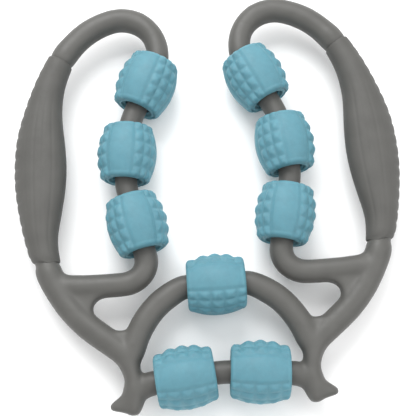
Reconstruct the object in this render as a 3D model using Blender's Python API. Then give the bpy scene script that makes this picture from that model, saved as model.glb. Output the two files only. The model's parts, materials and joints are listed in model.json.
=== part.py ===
"""Leg and foot massager: two clamp-shaped handles carry nine free-turning ribbed rollers.

It lies flat. +X is to its right, +Y runs from the feet to the top of the hooks, and +Z is up.
Sizes are in metres. The right half is modelled, and the left half is its mirror image in X.
"""

import math

import bmesh
import bpy
from mathutils import Matrix, Vector

MM = 0.001

# Rollers. All nine are alike: a soft tread on a hard core that turns on an axle.
ROLLER_RADIUS = 20.8 * MM
ROLLER_END_RADIUS = 17.6 * MM
ROLLER_LENGTH = 38.4 * MM
ROLLER_EDGE_ROUND = 3.0 * MM
CORE_RADIUS = 10.7 * MM
RECESS_DEPTH = 4.0 * MM
AXLE_RADIUS = 4.0 * MM

# Clearances
FIT_GAP = 0.3 * MM
RUNNING_GAP = 0.5 * MM

# Tubes of the frame
SHOULDER_RADIUS = 7.5 * MM
TUBE_RADIUS = 7.8 * MM
HOOK_RADIUS = 8.3 * MM
LEG_RADIUS = 8.5 * MM
ANKLE_HALF_WIDTH = 6.0 * MM
SOLE_HALF_WIDTH = 3.2 * MM
SOLE_HALF_THICKNESS = 6.0 * MM
SOCKET_DEPTH = 6.0 * MM
WEB_HALF_THICKNESS = 5.2 * MM

# Grips
GRIP_END_RADIUS = 9.3 * MM
PALM_HALF_WIDTH = 18.3 * MM
PALM_HALF_THICKNESS = 11.5 * MM
SLEEVE_WALL = 2.0 * MM
SLEEVE_STEP = 0.9 * MM

# Overall, on the middle lines of the tubes: between the two handles, and from soles to hook crests.
# Both follow the rollers' length, so that longer rollers are further apart.
HANDLE_SPAN = 5.9167 * ROLLER_LENGTH
FRAME_LENGTH = 7.1797 * ROLLER_LENGTH

# The plan of the frame is drawn on a grid. It runs to 113.6 across at a handle, and along it runs
# from -142 at the soles to 133.7 at the hook crests. These are the lengths of one grid step.
ACROSS = HANDLE_SPAN / (2 * 113.6)
ALONG = FRAME_LENGTH / (142.0 + 133.7)
SOLE_Y = -142.0 * ALONG
BASE_Y = SOLE_Y + ROLLER_RADIUS + FIT_GAP

# The right half's rollers, each as the x and y of its centre and how far its axis leans from +Y
TOP_ROLLER = (38.2 * ACROSS, 82.6 * ALONG, math.radians(25.0))
MIDDLE_ROLLER = (54.0 * ACROSS, 32.4 * ALONG, math.radians(6.5))
BOTTOM_ROLLER = (50.0 * ACROSS, -17.4 * ALONG, math.radians(-12.0))
ARCH_ROLLER = (0.0, -62.0 * ALONG, math.radians(90.0))
BASE_ROLLER = (24.0 * ACROSS, BASE_Y, math.radians(85.0))

# Facets
TUBE_SIDES = 16
ROLLER_SIDES = 20
PIN_SIDES = 12
STEPS = 2

# Colours, linear
FRAME_GREY = (0.120, 0.119, 0.113)
SLEEVE_GREY = (0.105, 0.104, 0.099)
TREAD_TEAL = (0.100, 0.280, 0.350)
CORE_TEAL = (0.050, 0.130, 0.165)
AXLE_GREY = (0.560, 0.560, 0.540)

SHOULDER = ROLLER_LENGTH / 2 - RECESS_DEPTH + FIT_GAP
MID_PLANE = ROLLER_RADIUS


def material(name, colour, roughness, metallic=0.0):
    made = bpy.data.materials.new(name)
    made.use_nodes = True
    shader = made.node_tree.nodes["Principled BSDF"]
    shader.inputs["Base Color"].default_value = (*colour, 1.0)
    shader.inputs["Roughness"].default_value = roughness
    shader.inputs["Metallic"].default_value = metallic
    return made


def mesh_of(name, shape):
    """The bmesh as mesh data, with its faces turned outwards."""
    bmesh.ops.recalc_face_normals(shape, faces=shape.faces)
    mesh = bpy.data.meshes.new(name)
    shape.to_mesh(mesh)
    shape.free()
    return mesh


def add_object(name, mesh, surface=None):
    made = bpy.data.objects.new(name, mesh)
    bpy.context.scene.collection.objects.link(made)
    if surface:
        mesh.materials.append(surface)
    return made


def add_boolean(target, operand, operation):
    """Joins the operand to the target, or cuts it away, and hides the operand."""
    operand.hide_render = True
    operand.display_type = "WIRE"
    modifier = target.modifiers.new(operand.name, "BOOLEAN")
    modifier.operation = operation
    modifier.solver = "EXACT"
    modifier.object = operand


# Places on the plan and on a roller's axis


def on_plan(x, y):
    """A grid place of the plan, in metres."""
    return (x * ACROSS, y * ALONG)


def axis_of(roller):
    """The way along a roller's axis to its upper end or, on a level one, to its inner end."""
    lean = roller[2]
    return Vector((-math.sin(lean), math.cos(lean)))


def on_axis(roller, distance):
    return Vector(roller[:2]) + axis_of(roller) * distance


def mirrored(roller):
    x, y, lean = roller
    return (-x, y, -lean)


# Tubes that follow a line in the mid-plane. A station is (centre, way across, half width, half
# thickness).


def smooth_rows(rows):
    """The rows of numbers joined by a Catmull-Rom curve, with STEPS to each span."""
    rows = [Vector(row) for row in rows]
    rows = [rows[0] * 2 - rows[1], *rows, rows[-1] * 2 - rows[-2]]
    found = []
    for before, start, end, after in zip(rows, rows[1:], rows[2:], rows[3:]):
        slope_in = (end - before) / 2
        slope_out = (after - start) / 2
        for step in range(STEPS):
            t = step / STEPS
            found.append(
                start * (2 * t**3 - 3 * t**2 + 1)
                + slope_in * (t**3 - 2 * t**2 + t)
                + end * (3 * t**2 - 2 * t**3)
                + slope_out * (t**3 - t**2)
            )
    return [*found, rows[-2]]


def stations_along(rows, first_way=None, last_way=None):
    """Stations through (x, y, half width, half thickness) rows. A way squares that end to it."""
    ways = []
    for index in range(len(rows)):
        ahead = Vector(rows[min(index + 1, len(rows) - 1)][:2])
        behind = Vector(rows[max(index - 1, 0)][:2])
        ways.append((ahead - behind).normalized())
    ways[0] = first_way or ways[0]
    ways[-1] = last_way or ways[-1]
    return [
        (Vector(row[:2]), Vector((-way.y, way.x)), row[2], row[3])
        for row, way in zip(rows, ways)
    ]


def grown(station, margin):
    centre, across, half_width, half_thickness = station
    return (centre, across, half_width + margin, half_thickness + margin)


def moved_along(station, distance):
    centre, across, half_width, half_thickness = station
    along = Vector((across.y, -across.x))
    return (centre + along * distance, across, half_width, half_thickness)


def add_ring(shape, station):
    centre, across, half_width, half_thickness = station
    ring = []
    for side in range(TUBE_SIDES):
        turn = 2 * math.pi * (side + 0.5) / TUBE_SIDES
        place = centre + across * half_width * math.cos(turn)
        ring.append(shape.verts.new((place.x, place.y, half_thickness * math.sin(turn))))
    return ring


def join_rings(shape, ring, following):
    for side in range(len(ring)):
        neighbour = (side + 1) % len(ring)
        shape.faces.new((ring[side], ring[neighbour], following[neighbour], following[side]))


def tube(stations):
    """A solid through the stations, with flat ends."""
    shape = bmesh.new()
    rings = [add_ring(shape, station) for station in stations]
    for ring, following in zip(rings, rings[1:]):
        join_rings(shape, ring, following)
    shape.faces.new(rings[0])
    shape.faces.new(rings[-1])
    return shape


def sleeve(stations, wall):
    """A hollow tube with open ends, whose outside passes through the stations."""
    shape = bmesh.new()
    outside = [add_ring(shape, station) for station in stations]
    inside = [add_ring(shape, grown(station, -wall)) for station in reversed(stations)]
    rings = [*outside, *inside]
    for ring, following in zip(rings, rings[1:] + rings[:1]):
        join_rings(shape, ring, following)
    return shape


# Solids about an axis along Y


def revolved(name, outline, sides):
    """A closed outline of (radius, height) points, spun about Y."""
    shape = bmesh.new()
    rings = []
    for radius, height in outline:
        turns = [2 * math.pi * side / sides for side in range(sides)]
        rings.append(
            [
                shape.verts.new((radius * math.cos(turn), height, radius * math.sin(turn)))
                for turn in turns
            ]
        )
    for ring, following in zip(rings, rings[1:] + rings[:1]):
        join_rings(shape, ring, following)
    return mesh_of(name, shape)


def cylinder(name, radius, length):
    shape = bmesh.new()
    bmesh.ops.create_cone(
        shape,
        cap_ends=True,
        segments=PIN_SIDES,
        radius1=radius,
        radius2=radius,
        depth=length,
        matrix=Matrix.Rotation(math.pi / 2, 4, "X"),
    )
    return mesh_of(name, shape)


# Rollers


def tread_mesh():
    """The barrel over the bumps. Its bore runs past the core, as a recess in each end."""
    half = ROLLER_LENGTH / 2
    flat = half - ROLLER_EDGE_ROUND
    bulge = ROLLER_RADIUS - ROLLER_END_RADIUS
    upper = [(ROLLER_RADIUS - bulge * share**2, flat * share) for share in (0.0, 0.4, 0.7, 1.0)]
    for turn in (math.pi / 4, math.pi / 2):
        inset = ROLLER_EDGE_ROUND * (1 - math.cos(turn))
        upper.append((ROLLER_END_RADIUS - inset, flat + ROLLER_EDGE_ROUND * math.sin(turn)))
    upper.append((CORE_RADIUS + FIT_GAP, half))
    lower = [(radius, -height) for radius, height in reversed(upper[1:])]
    return revolved("tread", lower + upper, ROLLER_SIDES)


def core_mesh():
    """The hub inside a tread, which ends at the bottom of the recesses."""
    half = ROLLER_LENGTH / 2 - RECESS_DEPTH
    bore = AXLE_RADIUS + RUNNING_GAP
    outline = [(CORE_RADIUS, -half), (CORE_RADIUS, half), (bore, half), (bore, -half)]
    return revolved("core", outline, TUBE_SIDES)


def build_roller(name, roller, surfaces):
    """An axle that the frame holds, and the core and tread that turn on it."""
    x, y, lean = roller
    pivot = bpy.data.objects.new(name + "_pivot", None)
    pivot.location = (x, y, MID_PLANE)
    pivot.rotation_euler.z = lean
    bpy.context.scene.collection.objects.link(pivot)
    axle_length = 2 * (SHOULDER + SOCKET_DEPTH - FIT_GAP)
    pieces = (
        ("axle", cylinder("axle", AXLE_RADIUS, axle_length), surfaces["axle"]),
        ("core", core_mesh(), surfaces["core"]),
        ("tread", tread_mesh(), surfaces["tread"]),
    )
    for piece, mesh, surface in pieces:
        add_object(f"{name}_{piece}", mesh, surface).parent = pivot


# Frame


def cut_socket(target, roller, end):
    """Cuts the hole for one end of a roller's axle. The end is 1 or -1 along the axis."""
    overrun = 2.0 * MM
    name = f"{target.name}_socket_{len(target.modifiers)}"
    cutter = add_object(name, cylinder(name, AXLE_RADIUS + FIT_GAP, SOCKET_DEPTH + overrun))
    centre = on_axis(roller, end * (SHOULDER + (SOCKET_DEPTH - overrun) / 2))
    cutter.location = (centre.x, centre.y, MID_PLANE)
    cutter.rotation_euler.z = roller[2]
    add_boolean(target, cutter, "DIFFERENCE")


def build_link(name, first, first_end, second, second_end, surface):
    """A bent tube from the shoulder of one roller to the shoulder of the next."""
    start = on_axis(first, first_end * SHOULDER)
    end = on_axis(second, second_end * SHOULDER)
    pull = (end - start).length * 0.4
    leave = start + axis_of(first) * first_end * pull
    arrive = end + axis_of(second) * second_end * pull
    spans = 5
    rows = []
    for span in range(spans + 1):
        t = span / spans
        point = start * (1 - t) ** 3 + leave * 3 * t * (1 - t) ** 2
        point += arrive * 3 * t**2 * (1 - t) + end * t**3
        rows.append((point.x, point.y, SHOULDER_RADIUS, SHOULDER_RADIUS))
    stations = stations_along(rows, axis_of(first) * first_end, -axis_of(second) * second_end)
    link = add_object(name, mesh_of(name, tube(stations)), surface)
    link.location.z = MID_PLANE
    cut_socket(link, first, first_end)
    cut_socket(link, second, second_end)


def entry_rows(roller, end):
    """The first rows of a tube that meets a roller: straight along its axis, past the socket."""
    start = on_axis(roller, end * SHOULDER)
    past = on_axis(roller, end * (SHOULDER + SOCKET_DEPTH))
    return [
        (start.x, start.y, SHOULDER_RADIUS, SHOULDER_RADIUS),
        (past.x, past.y, TUBE_RADIUS, TUBE_RADIUS),
    ]


def main_tube_rows():
    """Hook, handle, leg and foot, and the numbers of the rows where the grip starts and ends."""
    hook = [
        (29.4, 112.0, TUBE_RADIUS, TUBE_RADIUS),
        (33.2, 121.8, TUBE_RADIUS, TUBE_RADIUS),
        (41.8, 130.2, HOOK_RADIUS, HOOK_RADIUS),
        (54.0, 133.7, HOOK_RADIUS, HOOK_RADIUS),
        (66.4, 131.2, HOOK_RADIUS, HOOK_RADIUS),
        (78.6, 124.9, LEG_RADIUS, HOOK_RADIUS),
        (88.8, 115.8, LEG_RADIUS, HOOK_RADIUS),
    ]
    grip = [
        (97.6, 104.2, GRIP_END_RADIUS, GRIP_END_RADIUS),
        (105.6, 86.5, 0.58 * PALM_HALF_WIDTH, 0.88 * PALM_HALF_THICKNESS),
        (110.8, 66.0, 0.73 * PALM_HALF_WIDTH, 0.96 * PALM_HALF_THICKNESS),
        (113.0, 47.0, 0.92 * PALM_HALF_WIDTH, PALM_HALF_THICKNESS),
        (113.6, 27.0, PALM_HALF_WIDTH, PALM_HALF_THICKNESS),
        (114.2, 9.0, 0.94 * PALM_HALF_WIDTH, PALM_HALF_THICKNESS),
        (114.6, -9.0, 0.77 * PALM_HALF_WIDTH, 0.96 * PALM_HALF_THICKNESS),
        (114.2, -25.0, 0.60 * PALM_HALF_WIDTH, 0.87 * PALM_HALF_THICKNESS),
        (110.8, -42.0, GRIP_END_RADIUS, GRIP_END_RADIUS),
    ]
    leg = [
        (107.2, -53.0, LEG_RADIUS, LEG_RADIUS),
        (97.6, -69.5, LEG_RADIUS, LEG_RADIUS),
        (85.6, -83.4, LEG_RADIUS, HOOK_RADIUS),
        (72.4, -94.2, LEG_RADIUS, TUBE_RADIUS),
        (62.4, -103.4, TUBE_RADIUS, TUBE_RADIUS),
        (58.8, -113.0, ANKLE_HALF_WIDTH, TUBE_RADIUS),
        (57.0, -121.0, ANKLE_HALF_WIDTH, TUBE_RADIUS),
        (57.4, -130.0, TUBE_RADIUS, TUBE_RADIUS),
        (58.2, -142.0, SOLE_HALF_WIDTH, SOLE_HALF_THICKNESS),
    ]
    placed = [(*on_plan(x, y), width, depth) for x, y, width, depth in [*hook, *grip, *leg]]
    rows = [*entry_rows(TOP_ROLLER, 1), *placed]
    first = 2 + len(hook)
    return rows, first, first + len(grip) - 1


def main_tube_stations():
    """The outside of the long tube, and the numbers of the stations where the grip starts and ends."""
    rows, first, last = main_tube_rows()
    stations = stations_along(smooth_rows(rows), axis_of(TOP_ROLLER), Vector((0.0, -1.0)))
    return stations, first * STEPS, last * STEPS


def main_tube():
    """The long tube, which is thinner under its grip sleeve."""
    stations, first, last = main_tube_stations()
    gripped = [grown(station, -SLEEVE_WALL - FIT_GAP) for station in stations[first : last + 1]]
    above = [*stations[:first], grown(stations[first], -SLEEVE_STEP)]
    below = [grown(stations[last], -SLEEVE_STEP), *stations[last + 1 :]]
    return tube([*above, *gripped, *below])


def grip_sleeve():
    stations, first, last = main_tube_stations()
    upper = moved_along(stations[first], FIT_GAP)
    lower = moved_along(stations[last], -FIT_GAP)
    return sleeve([upper, *stations[first + 1 : last], lower], SLEEVE_WALL)


def cross_arm():
    """From under the bottom roller, round the elbow, to the handle's lower end."""
    elbow = [(44.9, -44.6), (48.0, -51.6), (54.6, -56.3), (62.0, -57.6), (84.0, -57.4), (106.0, -56.0)]
    rows = [(*on_plan(x, y), TUBE_RADIUS, TUBE_RADIUS) for x, y in elbow]
    rows = smooth_rows([*entry_rows(BOTTOM_ROLLER, -1), *rows])
    return tube(stations_along(rows, -axis_of(BOTTOM_ROLLER)))


def arch():
    """From the arch roller, down to the top of the leg."""
    bend = [(31.2, -66.9), (40.4, -73.7), (48.0, -82.6), (54.0, -93.0), (57.4, -102.0)]
    rows = [(*on_plan(x, y), HOOK_RADIUS, TUBE_RADIUS) for x, y in bend]
    rows.append((*on_plan(59.2, -112.0), ANKLE_HALF_WIDTH - 1 * MM, TUBE_RADIUS - 1 * MM))
    rows = smooth_rows([*entry_rows(ARCH_ROLLER, -1), *rows])
    return tube(stations_along(rows, -axis_of(ARCH_ROLLER)))


def base_bar():
    """From the outer base roller's end, into the foot."""
    rows = [*entry_rows(BASE_ROLLER, -1), (*on_plan(56.0, -126.0), TUBE_RADIUS, ANKLE_HALF_WIDTH)]
    return tube(stations_along(rows, -axis_of(BASE_ROLLER)))


def toe():
    rows = [(56.5, -129.6, 6.0), (63.0, -133.4, 4.9), (69.0, -135.6, 3.5), (73.2, -136.4, 2.0)]
    return tube(stations_along([(*on_plan(x, y), size * MM, 1.3 * size * MM) for x, y, size in rows]))


def plate(outline, half_thickness):
    """An outline on the plan, thickened equally to both sides of the mid-plane."""
    shape = bmesh.new()
    rings = [
        [shape.verts.new((*on_plan(x, y), height)) for x, y in outline]
        for height in (-half_thickness, half_thickness)
    ]
    join_rings(shape, *rings)
    shape.faces.new(rings[0])
    shape.faces.new(rings[1])
    return shape


def gusset_web():
    """The web between the handle's lower end, the cross arm and the leg."""
    inner_corner = [(102.6, -43.6), (100.8, -47.0), (97.0, -49.4), (90.0, -51.0)]
    gap_end = [(72.0, -58.0), (73.0, -64.4), (78.3, -66.3), (81.6, -69.5), (82.3, -73.6), (80.2, -78.8)]
    along_leg = [(86.0, -84.0), (98.0, -69.0), (105.6, -54.4), (107.6, -46.4)]
    return plate([*inner_corner, *gap_end, *along_leg], WEB_HALF_THICKNESS)


def fork_web():
    """The web in the fork where the arch and the leg meet."""
    fork = [(55.0, -89.0), (60.6, -88.6), (64.8, -88.0), (69.0, -88.4), (74.0, -90.0), (66.0, -103.0)]
    return plate(fork, WEB_HALF_THICKNESS)


def foot_web():
    """The web in the fork between the sole and the toe."""
    fork = [(54.0, -129.0), (57.2, -140.2), (60.8, -140.6), (66.5, -139.2), (72.4, -137.8), (66.0, -130.5)]
    return plate(fork, WEB_HALF_THICKNESS)


def build_side(side, sign, surfaces):
    """One side frame with its grip sleeve. The sign is 1 on the right and -1 on the left."""

    def half_object(name, shape, surface=None):
        bmesh.ops.scale(shape, vec=(sign, 1.0, 1.0), verts=shape.verts)
        made = add_object(name, mesh_of(name, shape), surface)
        made.location.z = MID_PLANE
        return made

    frame = half_object(side + "_side_frame", main_tube(), surfaces["frame"])
    joined = {
        "cross_arm": cross_arm(),
        "arch": arch(),
        "base_bar": base_bar(),
        "toe": toe(),
        "web": gusset_web(),
        "fork": fork_web(),
        "foot": foot_web(),
    }
    for name, shape in joined.items():
        add_boolean(frame, half_object(f"{side}_{name}_operand", shape), "UNION")
    ends = [(TOP_ROLLER, 1), (BOTTOM_ROLLER, -1), (ARCH_ROLLER, -1), (BASE_ROLLER, -1)]
    for roller, end in ends:
        cut_socket(frame, roller if sign > 0 else mirrored(roller), end)
    half_object(side + "_grip_sleeve", grip_sleeve(), surfaces["sleeve"])


def main():
    for old in list(bpy.data.objects):
        bpy.data.objects.remove(old, do_unlink=True)
    surfaces = {
        "frame": material("frame_plastic", FRAME_GREY, 0.50),
        "sleeve": material("grip_rubber", SLEEVE_GREY, 0.65),
        "tread": material("tread_elastomer", TREAD_TEAL, 0.48),
        "core": material("core_plastic", CORE_TEAL, 0.55),
        "axle": material("axle_plastic", AXLE_GREY, 0.35),
    }
    for side, sign in (("right", 1), ("left", -1)):
        build_side(side, sign, surfaces)
        places = [TOP_ROLLER, MIDDLE_ROLLER, BOTTOM_ROLLER, BASE_ROLLER]
        placed = [place if sign > 0 else mirrored(place) for place in places]
        for name, place in zip(("top", "middle", "bottom", "base"), placed):
            build_roller(f"{side}_{name}", place, surfaces)
        top, middle, bottom, _ = placed
        build_link(side + "_upper_link", top, -1, middle, 1, surfaces["frame"])
        build_link(side + "_lower_link", middle, -1, bottom, 1, surfaces["frame"])
    build_roller("arch", ARCH_ROLLER, surfaces)
    build_link("base_link", BASE_ROLLER, 1, mirrored(BASE_ROLLER), 1, surfaces["frame"])


main()
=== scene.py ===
"""Looks of a leg and foot massager: nine studded rollers on a grey clamp frame with soft grips.

Every piece is shaped round the CAD frame, in metres, with +Z up.
"""

import json
import math

import bmesh
import bpy
import numpy as np
from mathutils import Matrix, Vector
from mathutils.bvhtree import BVHTree


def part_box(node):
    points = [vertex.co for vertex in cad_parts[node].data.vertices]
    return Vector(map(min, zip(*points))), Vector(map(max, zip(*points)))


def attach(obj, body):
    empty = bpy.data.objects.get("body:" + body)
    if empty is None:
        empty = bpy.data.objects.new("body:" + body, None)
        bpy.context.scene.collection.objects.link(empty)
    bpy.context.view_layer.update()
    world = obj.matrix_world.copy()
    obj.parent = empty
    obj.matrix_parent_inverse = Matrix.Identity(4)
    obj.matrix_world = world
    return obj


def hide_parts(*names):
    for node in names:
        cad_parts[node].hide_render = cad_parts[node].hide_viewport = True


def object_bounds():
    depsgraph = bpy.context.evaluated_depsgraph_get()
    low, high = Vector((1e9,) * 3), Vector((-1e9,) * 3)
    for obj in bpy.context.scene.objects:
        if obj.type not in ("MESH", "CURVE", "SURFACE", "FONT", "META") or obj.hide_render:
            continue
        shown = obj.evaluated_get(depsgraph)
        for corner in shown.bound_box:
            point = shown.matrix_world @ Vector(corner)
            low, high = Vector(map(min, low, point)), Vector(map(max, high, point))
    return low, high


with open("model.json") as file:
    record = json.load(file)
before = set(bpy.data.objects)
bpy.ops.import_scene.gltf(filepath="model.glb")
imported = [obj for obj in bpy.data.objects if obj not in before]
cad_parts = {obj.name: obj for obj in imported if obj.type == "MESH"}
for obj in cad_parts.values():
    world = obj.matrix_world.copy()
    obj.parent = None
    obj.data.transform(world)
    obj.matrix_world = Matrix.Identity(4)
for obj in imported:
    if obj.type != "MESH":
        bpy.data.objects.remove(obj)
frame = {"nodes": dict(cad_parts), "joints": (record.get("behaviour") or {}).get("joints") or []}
CAD_LOW, CAD_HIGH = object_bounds()

MM = 0.001
UP = Vector((0.0, 0.0, 1.0))
MID_PLANE = (CAD_LOW.z + CAD_HIGH.z) / 2

# Rollers: three smooth panels round the tread, and three rows of studs between each two of them
TREAD_RADIUS = (CAD_HIGH.z - CAD_LOW.z) / 2
TREAD_HALF_LENGTH = (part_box("arch_tread")[1].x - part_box("arch_tread")[0].x) / 2
CORE_HALF_LENGTH = (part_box("arch_core")[1].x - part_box("arch_core")[0].x) / 2
CORE_RADIUS = (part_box("arch_core")[1].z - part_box("arch_core")[0].z) / 2
BARREL_DROP = 3.2 * MM
EDGE_ROUND = 3.0 * MM
STUD_HEIGHT = 1.4 * MM
PANEL_RISE = 0.6 * MM
PANEL_SHOULDER = 3.2 * MM
PANEL_ANGLE = math.radians(60.0)
STUD_ROWS = 3
STUD_ANGLE = math.radians(20.0)
STUD_PITCH = 8.5 * MM
STUD_TIP_ROUND = 0.35
STUD_SQUARENESS = 4.0
STUD_SOFTNESS = 0.35
STUD_STEPS = 16
EDGE_STEPS = 8
FIT_GAP = 0.3 * MM
LIP_WIDTH = 1.7 * MM
END_DISH = 0.6 * MM
COLLAR_RADIUS = 9.0 * MM
COLLAR_DEPTH = 1.9 * MM
CORE_SIDES = 72
AXLE_RADIUS = 4.0 * MM
RUNNING_GAP = 0.5 * MM

# Which way a smooth panel faces on each roller, in degrees about its axis, with 0 as up
PANEL_FACES = {
    "right_top": 15.0,
    "right_middle": 20.0,
    "right_bottom": -4.0,
    "left_top": -14.5,
    "left_middle": -10.0,
    "left_bottom": 9.0,
    "arch": 9.0,
    "right_base": 2.5,
    "left_base": -2.5,
}

# Frame
VOXEL = 0.75 * MM
BLEND_RADIUS = 2.3 * MM
RELAX_SHARE = 0.8
SOCKET_DEPTH = 6.0 * MM
END_ROUND = 0.9 * MM
END_STEPS = 3
END_REACH = 10.5 * MM
RIM_REACH = 9.0 * MM
FLATNESS = 0.02 * MM
PLUG_OUT = 5.0 * MM
PLUG_IN = 3.0 * MM
PLUG_SIDES = 32

# Grips. Each is measured by rays in planes that fan out from an upright line
FAN_CENTRE = Vector((-73.3 * MM, 6.0 * MM))
FAN_MARGIN = 0.0005  # radians
PAST_SLEEVE = 400.0 * MM
PAST_SECTION = 40.0 * MM
BLUR_ALONG = 4.0  # rows
BLUR_ROUND = 3.5  # places round a section
SLEEVE_WALL = 2.0 * MM
SLEEVE_ROUND = 0.8 * MM
GRIP_STEPS = 200
GRIP_SIDES = 144
NOTCH_PITCH = 7.3 * MM
NOTCH_DEPTH = 0.6 * MM
NOTCH_SPREAD = math.radians(38.0)
NOTCH_SHARPNESS = 1.5
NOTCH_FADE = 6.0 * MM
FLUTE_SPACING = 6.4 * MM
FLUTE_DEPTH = 0.22 * MM
FLUTE_WIDTH = 0.9 * MM
FLUTES = 4
FLUTE_FADE_IN = 0.14  # this and the next two are shares of the grip's length
FLUTE_STOP = 0.86
FLUTE_FADE_OUT = 0.2
FACE_GAIN = 3.0
FACE_START = 0.6

# Surfaces
SHINE = 0.4
FRAME_COLOUR = (0.081, 0.080, 0.0745)
GRIP_COLOUR = (0.075, 0.074, 0.069)
CORE_COLOUR = (0.040, 0.105, 0.132)
AXLE_COLOUR = (0.560, 0.560, 0.540)
TREAD_COLOUR = (0.086, 0.222, 0.272)
DUST_COLOUR = (0.150, 0.260, 0.300)
TREAD_GLOW = 0.7
TREAD_GLOW_TINT = (0.6, 1.0, 1.0)
TREAD_GLOW_DEPTH = 3.0 * MM

# Camera and light
CAMERA_DISTANCE = 594.0 * MM
CAMERA_ELEVATION = math.radians(75.0)
CAMERA_TURN = math.radians(4.14)
CAMERA_AIM = Vector((-1.6 * MM, -9.4 * MM, MID_PLANE))
CAMERA_LENS = 76.15
WORLD_STRENGTH = 1.0
KEY_LIGHT = {"place": (-0.2, 0.9, 1.1), "aim": (0.0, 0.06, 0.0), "size": 0.9, "power": 16.5}
FILL_LIGHT = {"place": (0.6, -0.1, 1.2), "aim": (0.0, 0.0, 0.0), "size": 1.2, "power": 5.0}
FLOOR_HALF = 4.0
PAPER_DARK = (0.94, 0.94, 0.94, 1.0)
PAPER_LIGHT = (0.97, 0.97, 0.97, 1.0)


# Meshes


def add_piece(name, mesh, surface, body, slot, *nodes):
    """A finished piece of the object, which rides on a body and stands for CAD nodes."""
    mesh.shade_smooth()
    piece = bpy.data.objects.new(name, mesh)
    bpy.context.scene.collection.objects.link(piece)
    mesh.materials.append(surface)
    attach(piece, body)
    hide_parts(*nodes)
    return piece


def grid_mesh(name, rows):
    """A mesh through rows of points. Each row is a closed ring, and the last row joins the first."""
    count, sides = len(rows), len(rows[0])
    points = np.concatenate([np.asarray(row, float) for row in rows])
    mesh = bpy.data.meshes.new(name)
    faces = []
    for row in range(count):
        following = (row + 1) % count
        for side in range(sides):
            neighbour = (side + 1) % sides
            faces.append(
                (
                    row * sides + side,
                    row * sides + neighbour,
                    following * sides + neighbour,
                    following * sides + side,
                )
            )
    mesh.from_pydata(points.tolist(), [], faces)
    outwards(mesh)
    return mesh


def outwards(mesh):
    """Turns all faces of a closed mesh outwards."""
    shape = bmesh.new()
    shape.from_mesh(mesh)
    bmesh.ops.recalc_face_normals(shape, faces=shape.faces)
    if shape.calc_volume(signed=True) < 0:
        bmesh.ops.reverse_faces(shape, faces=shape.faces)
    shape.to_mesh(mesh)
    shape.free()


def mirrored_mesh(name, mesh):
    """The left-hand copy of a right-hand mesh, without its material."""
    made = mesh.copy()
    made.name = name
    made.materials.clear()
    made.transform(Matrix.Scale(-1.0, 4, Vector((1.0, 0.0, 0.0))))
    made.flip_normals()
    return made


def points_of(mesh):
    """The mesh's points as an array with a row for each."""
    found = np.empty(len(mesh.vertices) * 3)
    mesh.vertices.foreach_get("co", found)
    return found.reshape(-1, 3)


# Rollers


def eased(share):
    """A share from 0 to 1, with a slow start and a slow end."""
    return share * share * (3 - 2 * share)


def stud(across, along):
    """Height of a four-sided stud, 0 to 1, at a place in its cell. Both places run from -1 to 1."""
    reach = np.abs(across) ** STUD_SQUARENESS + np.abs(along) ** STUD_SQUARENESS
    reach = np.minimum(reach ** (1 / STUD_SQUARENESS), 1.0)
    edge = math.hypot(1.0, STUD_TIP_ROUND)
    height = (edge - np.hypot(reach, STUD_TIP_ROUND)) / (edge - STUD_TIP_ROUND)
    return height + STUD_SOFTNESS * (eased(height) - height)


def tread_relief(turns, height):
    """Height of the relief, 0 to 1 of a stud, round the tread at one place along it."""
    period = PANEL_ANGLE + STUD_ROWS * STUD_ANGLE
    place = (turns + PANEL_ANGLE / 2) % period
    in_rows = place - PANEL_ANGLE
    across = (in_rows / STUD_ANGLE) % 1.0 * 2 - 1
    along = (height / STUD_PITCH + 0.5) % 1.0 * 2 - 1
    studs = stud(across, along)
    from_edge = np.minimum(place, PANEL_ANGLE - place) * TREAD_RADIUS
    shoulder = np.clip(from_edge / PANEL_SHOULDER, 0.0, 1.0)
    panel = PANEL_RISE / STUD_HEIGHT * eased(shoulder)
    return np.where(in_rows >= 0, studs, panel)


def tread_heights():
    """Places along half the tread as (height, inset of the rounded edge)."""
    flat = TREAD_HALF_LENGTH - EDGE_ROUND
    steps = round(flat / STUD_PITCH * STUD_STEPS)
    found = [(flat * step / steps, 0.0) for step in range(steps + 1)]
    for step in range(1, EDGE_STEPS + 1):
        turn = math.pi / 2 * step / EDGE_STEPS
        found.append((flat + EDGE_ROUND * math.sin(turn), EDGE_ROUND * (1 - math.cos(turn))))
    return found


def ring(radii, height, turns):
    """One row of points round the Y axis, with one radius or a radius for each turn."""
    radii = np.broadcast_to(radii, turns.shape)
    return np.stack([radii * np.sin(turns), np.full_like(turns, height), radii * np.cos(turns)], axis=1)


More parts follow.
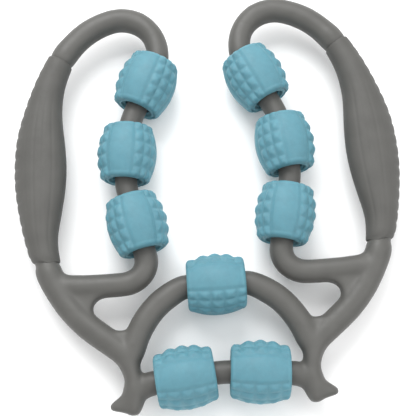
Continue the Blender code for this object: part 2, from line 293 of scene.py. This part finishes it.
def tread_mesh():
    """A barrel with studs, a lip round each recess, a collar inside it and a bore, about the Y axis."""
    sides = round(2 * math.pi / STUD_ANGLE) * STUD_STEPS
    turns = np.arange(sides) * 2 * math.pi / sides
    half = tread_heights()
    places = [(-height, inset) for height, inset in reversed(half[1:])] + half
    rows, relief = [], []
    flat = TREAD_HALF_LENGTH - EDGE_ROUND
    for height, inset in places:
        share = min(abs(height) / flat, 1.0)
        raised = tread_relief(turns, height)
        radius = TREAD_RADIUS - BARREL_DROP * share**2 - inset - STUD_HEIGHT * (1 - raised)
        rows.append(ring(radius, height, turns))
        relief.append(raised)
    bore = CORE_RADIUS + FIT_GAP
    lip = bore + LIP_WIDTH
    inward = [
        (lip + 1.0 * MM, TREAD_HALF_LENGTH - END_DISH),
        (lip + 0.2 * MM, TREAD_HALF_LENGTH - END_DISH),
        (lip - 0.1 * MM, TREAD_HALF_LENGTH - 0.1 * MM),
        (lip - 0.5 * MM, TREAD_HALF_LENGTH),
        (bore + 0.4 * MM, TREAD_HALF_LENGTH),
        (bore + 0.1 * MM, TREAD_HALF_LENGTH - 0.1 * MM),
        (bore, TREAD_HALF_LENGTH - 0.4 * MM),
        (bore, TREAD_HALF_LENGTH - COLLAR_DEPTH),
        (COLLAR_RADIUS + 0.4 * MM, TREAD_HALF_LENGTH - COLLAR_DEPTH),
        (COLLAR_RADIUS, TREAD_HALF_LENGTH - COLLAR_DEPTH - 0.3 * MM),
        (COLLAR_RADIUS, CORE_HALF_LENGTH + 0.1 * MM),
        (bore, CORE_HALF_LENGTH + 0.1 * MM),
    ]
    for radius, height in inward:
        rows.append(ring(radius, height, turns))
    for radius, height in reversed(inward):
        rows.append(ring(radius, -height, turns))
    relief.extend([np.zeros(sides)] * (2 * len(inward)))
    mesh = grid_mesh("tread", rows)
    kept = mesh.attributes.new("relief", "FLOAT", "POINT")
    kept.data.foreach_set("value", np.concatenate(relief).astype(np.float32))
    return mesh


def core_mesh():
    """The hub that shows at the bottom of the recesses, with a raised boss round the axle."""
    turns = np.arange(CORE_SIDES) * 2 * math.pi / CORE_SIDES
    bore = AXLE_RADIUS + RUNNING_GAP
    outline = [
        (CORE_RADIUS, 0.0),
        (CORE_RADIUS, CORE_HALF_LENGTH - 1.2 * MM),
        (CORE_RADIUS - 0.4 * MM, CORE_HALF_LENGTH - 0.8 * MM),
        (CORE_RADIUS - 1.6 * MM, CORE_HALF_LENGTH - 0.8 * MM),
        (CORE_RADIUS - 2.0 * MM, CORE_HALF_LENGTH - 0.1 * MM),
        (CORE_RADIUS - 2.3 * MM, CORE_HALF_LENGTH),
        (bore, CORE_HALF_LENGTH),
    ]
    both = outline + [(radius, -height) for radius, height in reversed(outline[1:])]
    return grid_mesh("core", [ring(radius, height, turns) for radius, height in both])


def add_rollers(surfaces):
    """A tread and a core on each hinge. The tread's mesh is turned to show its panel as in the photo."""
    tread, core = tread_mesh(), core_mesh()
    for joint in frame["joints"]:
        body = joint["child"]
        name = body.removesuffix("_roller")
        axis = Vector(joint["axis"])
        heading = Matrix.Rotation(math.atan2(-axis.x, axis.y), 4, "Z")
        place = Matrix.Translation(joint["pos_m"]) @ heading
        turned = tread.copy()
        turned.transform(Matrix.Rotation(math.radians(PANEL_FACES[name]), 4, "Y"))
        pieces = (("tread", turned, "tread_elastomer"), ("core", core.copy(), "core_plastic"))
        for kind, mesh, slot in pieces:
            node = f"{name}_{kind}"
            piece = add_piece(f"{node}_surface", mesh, surfaces[kind], body, slot, node)
            piece.matrix_world = place


# Frame tubes


def roller_ends():
    """Where the frame meets each roller: (centre of the shoulder, way towards the roller)."""
    found = []
    for joint in frame["joints"]:
        axis, centre = Vector(joint["axis"]), Vector(joint["pos_m"])
        for side in (1, -1):
            found.append((centre + axis * side * (CORE_HALF_LENGTH + FIT_GAP), -axis * side))
    return found


def welded(node):
    """A CAD node's mesh with its shared points joined."""
    shape = bmesh.new()
    shape.from_mesh(frame["nodes"][node].data)
    bmesh.ops.remove_doubles(shape, verts=shape.verts, dist=0.002 * MM)
    return shape


def ends_of(shape):
    """The roller ends that this tube has, each with the tube's radius there."""
    found = []
    for centre, way in roller_ends():
        rim = [
            (vert.co - centre).length
            for vert in shape.verts
            if abs((vert.co - centre).dot(way)) < FLATNESS and (vert.co - centre).length < RIM_REACH
        ]
        if rim:
            found.append((centre, way, max(rim)))
    return found


def add_plug(shape, centre, way, radius):
    """Fills a socket and lengthens the tube towards the roller, so that it can be trimmed square."""
    middle = centre + way * (PLUG_OUT - PLUG_IN) / 2
    turn = way.to_track_quat("Z", "Y").to_matrix().to_4x4()
    bmesh.ops.create_cone(
        shape,
        cap_ends=True,
        segments=PLUG_SIDES,
        radius1=radius,
        radius2=radius,
        depth=PLUG_OUT + PLUG_IN,
        matrix=Matrix.Translation(middle) @ turn,
    )


def remeshed(shape):
    """A fine, even mesh round the whole shape, which joins its overlapping parts."""
    mesh = bpy.data.meshes.new("coarse")
    shape.to_mesh(mesh)
    shape.free()
    holder = bpy.data.objects.new("coarse", mesh)
    bpy.context.scene.collection.objects.link(holder)
    modifier = holder.modifiers.new("voxels", "REMESH")
    modifier.mode = "VOXEL"
    modifier.voxel_size = VOXEL
    graph = bpy.context.evaluated_depsgraph_get()
    fine = bpy.data.meshes.new_from_object(holder.evaluated_get(graph))
    bpy.data.objects.remove(holder)
    return fine


def relax(mesh, radius):
    """Blends the surface over a radius. Gives the new points and the way out at each."""
    points = points_of(mesh)
    edges = np.empty(len(mesh.edges) * 2, np.int32)
    mesh.edges.foreach_get("vertices", edges)
    first, second = edges[0::2], edges[1::2]
    count = len(points)
    degree = np.bincount(edges, minlength=count)[:, None]
    rounds = round(2 * radius**2 / (RELAX_SHARE * VOXEL**2))
    for _ in range(rounds):
        total = np.stack(
            [
                np.bincount(first, points[second, side], count)
                + np.bincount(second, points[first, side], count)
                for side in range(3)
            ],
            axis=1,
        )
        points += RELAX_SHARE * (total / degree - points)
    mesh.vertices.foreach_set("co", points.ravel())
    mesh.update()
    normals = np.empty(count * 3)
    mesh.vertices.foreach_get("normal", normals)
    return points, normals.reshape(-1, 3)


def loop_beyond(shape, loop, places):
    """Extrudes a loop of edges, and puts each new point where places() says. Returns the new loop."""
    made = bmesh.ops.extrude_edge_only(shape, edges=loop)["geom"]
    for vert in (item for item in made if isinstance(item, bmesh.types.BMVert)):
        vert.co = places(vert.co)
    return [item for item in made if isinstance(item, bmesh.types.BMEdge) and item.is_boundary]


def trim_end(shape, centre, way, radius):
    """Cuts the tube square near its shoulder, then adds a rounded rim, the end face and the socket."""
    near = [vert for vert in shape.verts if (vert.co - centre).length < END_REACH]
    faces = {face for vert in near for face in vert.link_faces}
    edges = {edge for face in faces for edge in face.edges}
    verts = {vert for face in faces for vert in face.verts}
    bmesh.ops.bisect_plane(
        shape,
        geom=[*verts, *edges, *faces],
        dist=0.001 * MM,
        plane_co=centre - way * END_ROUND,
        plane_no=way,
        clear_outer=True,
    )
    loop = [edge for edge in shape.edges if edge.is_boundary]

    def placed(reach, height):
        def place(point):
            spoke = point - centre
            spoke = (spoke - way * spoke.dot(way)).normalized()
            return centre + spoke * reach + way * height

        return place

    for step in range(1, END_STEPS + 1):
        turn = math.pi / 2 * step / END_STEPS
        reach = radius - END_ROUND * (1 - math.cos(turn))
        loop = loop_beyond(shape, loop, placed(reach, END_ROUND * (math.sin(turn) - 1)))
    socket = AXLE_RADIUS + FIT_GAP
    loop = loop_beyond(shape, loop, placed(socket, 0.0))
    loop = loop_beyond(shape, loop, placed(socket, -SOCKET_DEPTH))
    bmesh.ops.contextual_create(shape, geom=loop)


def fine_tube(node):
    """A smooth copy of a frame node, with blended joints between its tubes.

    Blending takes a little off a tube, so the surface is then moved out by that much.
    """
    shape = welded(node)
    ends = ends_of(shape)
    for centre, way, radius in ends:
        add_plug(shape, centre, way, radius)
    mesh = remeshed(shape)
    points, normals = relax(mesh, BLEND_RADIUS)
    points += normals * BLEND_RADIUS**2 / (2 * ends[0][2])
    mesh.vertices.foreach_set("co", points.ravel())
    shape = bmesh.new()
    shape.from_mesh(mesh)
    for centre, way, radius in ends:
        trim_end(shape, centre, way, radius)
    bmesh.ops.recalc_face_normals(shape, faces=shape.faces)
    shape.to_mesh(mesh)
    shape.free()
    return mesh


def add_frame(surface):
    """Both side frames, the four links of the arms and the base link."""

    def add(node, mesh):
        add_piece(f"{node}_surface", mesh, surface, "frame", "frame_plastic", node)

    for node in ("side_frame", "upper_link", "lower_link"):
        mesh = fine_tube(f"right_{node}")
        add(f"right_{node}", mesh)
        add(f"left_{node}", mirrored_mesh(f"left_{node}", mesh))
    add("base_link", fine_tube("base_link"))


# Grips


def first_hit(tree, origin, way):
    """Where a ray first meets the surface, or its origin if it misses."""
    place = tree.ray_cast(origin, way)[0]
    return origin if place is None else place


def blurred(rows, spread, wrap):
    """The array blurred down its columns, over that many rows."""
    reach = int(3 * spread) + 1
    weights = np.exp(-0.5 * (np.arange(-reach, reach + 1) / spread) ** 2)
    weights /= weights.sum()
    padded = np.pad(rows, ((reach, reach), (0, 0)), mode="wrap" if wrap else "edge")
    return sum(weight * padded[step : step + len(rows)] for step, weight in enumerate(weights))


def grip_sections(node):
    """The outside of a grip sleeve, as sections in upright planes that fan out from one upright line.

    Gives each section's angle, the distance of its middle and its radii, and the turns they are at.
    """
    tree = BVHTree.FromBMesh(welded(node))
    centre = Vector((*FAN_CENTRE, MID_PLANE))
    around = [vert.co - centre for vert in frame["nodes"][node].data.vertices]
    spans = [math.atan2(place.y, place.x) for place in around]
    angles = np.linspace(min(spans) + FAN_MARGIN, max(spans) - FAN_MARGIN, GRIP_STEPS)
    turns = np.arange(GRIP_SIDES) * 2 * math.pi / GRIP_SIDES
    middles, radii = [], []
    for angle in angles:
        out = Vector((math.cos(angle), math.sin(angle), 0.0))
        near = (first_hit(tree, centre, out) - centre).length
        far = (first_hit(tree, centre + out * PAST_SLEEVE, -out) - centre).length
        middle = (near + far) / 2
        middles.append(middle)
        row = []
        for turn in turns:
            way = out * math.cos(turn) + UP * math.sin(turn)
            place = centre + out * middle
            row.append((first_hit(tree, place + way * PAST_SECTION, -way) - place).length)
        radii.append(row)
    middles = blurred(np.array(middles)[:, None], BLUR_ALONG, False)[:, 0]
    radii = blurred(np.array(radii), BLUR_ALONG, False)
    radii = blurred(radii.T, BLUR_ROUND, True).T
    return angles, middles, radii, turns


def grip_relief(lengths, radii, turns):
    """How deep the notches along the outer edge and the flutes along both faces are cut."""
    total = lengths[-1]
    along = lengths[:, None]
    to_edge = np.abs((turns + math.pi) % (2 * math.pi) - math.pi)[None, :]
    window = np.clip(1 - (to_edge / NOTCH_SPREAD) ** 2, 0, 1)
    wave = 1 - np.abs(np.sin(math.pi * along / NOTCH_PITCH))
    ends = np.clip(np.minimum(along, total - along) / NOTCH_FADE, 0, 1)
    depth = NOTCH_DEPTH * wave**NOTCH_SHARPNESS * window * ends
    across = radii * np.cos(turns)[None, :]
    half_width = radii.max(axis=1)[:, None]
    scale = half_width / half_width.max()
    share = along / total
    fade = np.clip(share / FLUTE_FADE_IN, 0, 1) * np.clip((FLUTE_STOP - share) / FLUTE_FADE_OUT, 0, 1)
    face = np.clip(np.abs(np.sin(turns))[None, :] * FACE_GAIN - FACE_START, 0, 1)
    for flute in range(FLUTES):
        offset = (flute - (FLUTES - 1) / 2) * FLUTE_SPACING * scale
        gap = (across - offset) / FLUTE_WIDTH
        depth = depth + FLUTE_DEPTH * np.exp(-(gap**2)) * fade * face
    return depth


def grip_mesh(node):
    """A hollow sleeve with notches, flutes and rounded ends."""
    angles, middles, radii, turns = grip_sections(node)
    steps = np.diff(angles) * (middles[1:] + middles[:-1]) / 2
    lengths = np.concatenate([[0.0], np.cumsum(steps)])
    outer = radii - grip_relief(lengths, radii, turns)
    inner = radii - SLEEVE_WALL

    def section(row, radius, slip):
        """One ring, slipped along the grip by a length."""
        angle = angles[row] + slip / middles[row]
        out = np.array([math.cos(angle), math.sin(angle), 0.0])
        place = np.array([*FAN_CENTRE, MID_PLANE]) + out * middles[row]
        ways = np.cos(turns)[:, None] * out + np.sin(turns)[:, None] * np.array(UP)
        return place + radius[:, None] * ways

    def rim(row, sign):
        """The rounded end, from the outside inwards. The sign is 1 at the last row and -1 at the first."""
        found = []
        for turn in (0.0, math.pi / 8, math.pi / 4, 3 * math.pi / 8, math.pi / 2):
            drop = SLEEVE_ROUND * (1 - math.cos(turn))
            slip = SLEEVE_ROUND * (math.sin(turn) - 1)
            found.append(section(row, outer[row] - drop, sign * slip))
        return found

    inset = int(SLEEVE_ROUND / (lengths[-1] / GRIP_STEPS)) + 1
    rows = [section(row, outer[row], 0.0) for row in range(inset + 1, GRIP_STEPS - inset - 1)]
    rows += rim(GRIP_STEPS - 1, 1)
    rows += [section(row, inner[row], 0.0) for row in range(GRIP_STEPS - 1, -1, -3)]
    rows += [section(0, inner[0], 0.0)]
    rows += reversed(rim(0, -1))
    return grid_mesh("grip", rows)


def add_grips(surface):
    right = grip_mesh("right_grip_sleeve")
    add_piece("right_grip", right, surface, "frame", "grip_rubber", "right_grip_sleeve")
    left = mirrored_mesh("left_grip", right)
    add_piece("left_grip", left, surface, "frame", "grip_rubber", "left_grip_sleeve")


# Surfaces


class Surface:
    """A material made of nodes, with short calls for the ones used here."""

    def __init__(self, name, roughness):
        self.material = bpy.data.materials.new(name)
        self.material.use_nodes = True
        self.tree = self.material.node_tree
        self.shader = self.tree.nodes["Principled BSDF"]
        self.shader.inputs["Roughness"].default_value = roughness
        self.shader.inputs["Specular IOR Level"].default_value = SHINE
        self.place = self.node("ShaderNodeTexCoord").outputs["Object"]

    def node(self, kind, **settings):
        made = self.tree.nodes.new(kind)
        for key, value in settings.items():
            setattr(made, key, value)
        return made

    def fill(self, socket, value):
        if isinstance(value, bpy.types.NodeSocket):
            self.tree.links.new(value, socket)
        else:
            socket.default_value = value

    def noise(self, size, detail=2.0, roughness=0.5):
        """Cloudy noise whose lumps are about that size, in metres."""
        made = self.node("ShaderNodeTexNoise")
        self.fill(made.inputs["Vector"], self.place)
        made.inputs["Scale"].default_value = 1 / size
        made.inputs["Detail"].default_value = detail
        made.inputs["Roughness"].default_value = roughness
        return made.outputs["Fac"]

    def ranged(self, value, low, high, to_low, to_high):
        made = self.node("ShaderNodeMapRange")
        for socket, given in zip(made.inputs, (value, low, high, to_low, to_high)):
            self.fill(socket, given)
        return made.outputs["Result"]

    def mixed(self, share, first, second):
        made = self.node("ShaderNodeMix", data_type="RGBA")
        self.fill(made.inputs["Factor"], share)
        self.fill(made.inputs[6], first)
        self.fill(made.inputs[7], second)
        return made.outputs[2]

    def bump(self, height, distance, before=None):
        made = self.node("ShaderNodeBump")
        made.inputs["Distance"].default_value = distance
        self.fill(made.inputs["Height"], height)
        if before:
            self.fill(made.inputs["Normal"], before)
        return made.outputs["Normal"]

    def attribute(self, name):
        return self.node("ShaderNodeAttribute", attribute_name=name).outputs["Fac"]

    def pointiness(self):
        return self.node("ShaderNodeNewGeometry").outputs["Pointiness"]

    def finish(self, colour, roughness, normal):
        self.fill(self.shader.inputs["Base Color"], colour)
        self.fill(self.shader.inputs["Roughness"], roughness)
        self.fill(self.shader.inputs["Normal"], normal)
        return self.material


def shade(colour, share):
    """The colour made darker or lighter by a share, as four channels."""
    return (*(channel * share for channel in colour), 1.0)


def moulded_surface(name, colour, rough, grain, depth, wear=0.10):
    """Moulded plastic or rubber: cloudy tone, fine grain, faint scuffs, and paler worn edges."""
    made = Surface(name, rough)
    cloud = made.noise(14 * MM, 3.0)
    cloud = made.ranged(cloud, 0.35, 0.65, 0.0, 1.0)
    tone = made.mixed(cloud, shade(colour, 0.93), shade(colour, 1.06))
    speck = made.ranged(made.noise(0.35 * MM, 1.0), 0.60, 0.75, 0.0, 0.5)
    tone = made.mixed(speck, tone, shade(colour, 1.16))
    edges = made.ranged(made.pointiness(), 0.52, 0.60, 0.0, wear * 4)
    tone = made.mixed(edges, tone, shade(colour, 1.35))
    scuff = made.ranged(made.noise(3.5 * MM, 4.0, 0.7), 0.45, 0.75, rough - 0.05, rough + 0.09)
    normal = made.bump(made.noise(grain, 2.0), depth)
    normal = made.bump(made.noise(9 * MM, 1.0), 0.12 * MM, normal)
    return made.finish(tone, scuff, normal)


def tread_surface():
    """Soft teal rubber: painted light between the studs and on the recess walls, and slightly darker stud
    tips, which offset the shade of the relief, and a fine skin.
    """
    colour = TREAD_COLOUR
    made = Surface("tread_elastomer_surface", 0.58)
    made.shader.inputs["Subsurface Weight"].default_value = TREAD_GLOW
    made.shader.inputs["Subsurface Radius"].default_value = TREAD_GLOW_TINT
    made.shader.inputs["Subsurface Scale"].default_value = TREAD_GLOW_DEPTH
    relief = made.ranged(made.attribute("relief"), 0.0, 0.9, 0.0, 1.0)
    # Painted light: low places (stud valleys, recess walls) are painted lighter and stud tips a little
    # darker, to offset the shade that falls between the studs.
    tone = made.mixed(relief, shade(colour, 1.06), shade(colour, 0.98))
    cloud = made.ranged(made.noise(9 * MM, 3.0), 0.35, 0.65, 0.0, 0.5)
    tone = made.mixed(cloud, tone, shade(colour, 1.25))
    patch = made.ranged(made.noise(2.6 * MM, 2.0), 0.48, 0.62, 0.0, 0.35)
    tone = made.mixed(patch, tone, shade(colour, 1.22))
    dust = made.ranged(made.noise(0.5 * MM, 2.0), 0.62, 0.78, 0.0, 0.35)
    tone = made.mixed(dust, tone, shade(DUST_COLOUR, 1.0))
    rough = made.ranged(made.noise(2.5 * MM, 3.0), 0.3, 0.7, 0.52, 0.66)
    normal = made.bump(made.noise(0.45 * MM, 2.0), 0.03 * MM)
    normal = made.bump(made.noise(5 * MM, 1.0), 0.10 * MM, normal)
    return made.finish(tone, rough, normal)


def make_surfaces():
    """The five materials. Roughness, size of the grain and its depth are given with each colour."""
    moulded = moulded_surface
    return {
        "frame": moulded("frame_plastic_surface", FRAME_COLOUR, 0.50, 0.5 * MM, 0.02 * MM),
        "grip": moulded("grip_rubber_surface", GRIP_COLOUR, 0.62, 0.8 * MM, 0.05 * MM),
        "core": moulded("core_plastic_surface", CORE_COLOUR, 0.50, 0.4 * MM, 0.02 * MM),
        "axle": moulded("axle_plastic_surface", AXLE_COLOUR, 0.32, 0.6 * MM, 0.01 * MM, wear=0.0),
        "tread": tread_surface(),
    }


def finish_cad_nodes(surface):
    """The axles stay as they are, with a finished material."""
    for name, node in frame["nodes"].items():
        if name.endswith("_axle"):
            node.data.materials.clear()
            node.data.materials.append(surface)


# Stage


def add_floor():
    shape = bmesh.new()
    bmesh.ops.create_grid(shape, x_segments=1, y_segments=1, size=FLOOR_HALF)
    mesh = bpy.data.meshes.new("floor")
    shape.to_mesh(mesh)
    shape.free()
    floor = bpy.data.objects.new("floor", mesh)
    bpy.context.scene.collection.objects.link(floor)
    made = Surface("floor_paper", 0.9)
    tone = made.mixed(made.noise(0.2), PAPER_DARK, PAPER_LIGHT)
    mesh.materials.append(made.finish(tone, 0.9, made.bump(made.noise(2 * MM), 0.01 * MM)))


def add_area_light(name, place, aim, size, power):
    light = bpy.data.lights.new(name, "AREA")
    light.size = size
    light.energy = power
    made = bpy.data.objects.new(name, light)
    made.location = place
    made.rotation_euler = (Vector(aim) - Vector(place)).to_track_quat("-Z", "Y").to_euler()
    bpy.context.scene.collection.objects.link(made)


def add_lights():
    world = bpy.data.worlds.new("studio")
    bpy.context.scene.world = world
    world.use_nodes = True
    background = world.node_tree.nodes["Background"]
    background.inputs["Color"].default_value = (1.0, 1.0, 1.0, 1.0)
    background.inputs["Strength"].default_value = WORLD_STRENGTH
    add_area_light("key", **KEY_LIGHT)
    add_area_light("fill", **FILL_LIGHT)
    bpy.context.scene.view_settings.view_transform = "Standard"


def add_camera():
    back = Matrix.Rotation(-CAMERA_TURN, 3, "Z") @ Vector(
        (0.0, -math.cos(CAMERA_ELEVATION), math.sin(CAMERA_ELEVATION))
    )
    camera = bpy.data.objects.new("camera", bpy.data.cameras.new("camera"))
    camera.data.lens = CAMERA_LENS
    camera.location = CAMERA_AIM + back * CAMERA_DISTANCE
    camera.rotation_mode = "QUATERNION"
    camera.rotation_quaternion = back.to_track_quat("Z", "Y")
    bpy.context.scene.collection.objects.link(camera)
    bpy.context.scene.camera = camera


surfaces = make_surfaces()
add_camera()
add_lights()
add_floor()
add_rollers(surfaces)
add_frame(surfaces["frame"])
add_grips(surfaces["grip"])
finish_cad_nodes(surfaces["axle"])
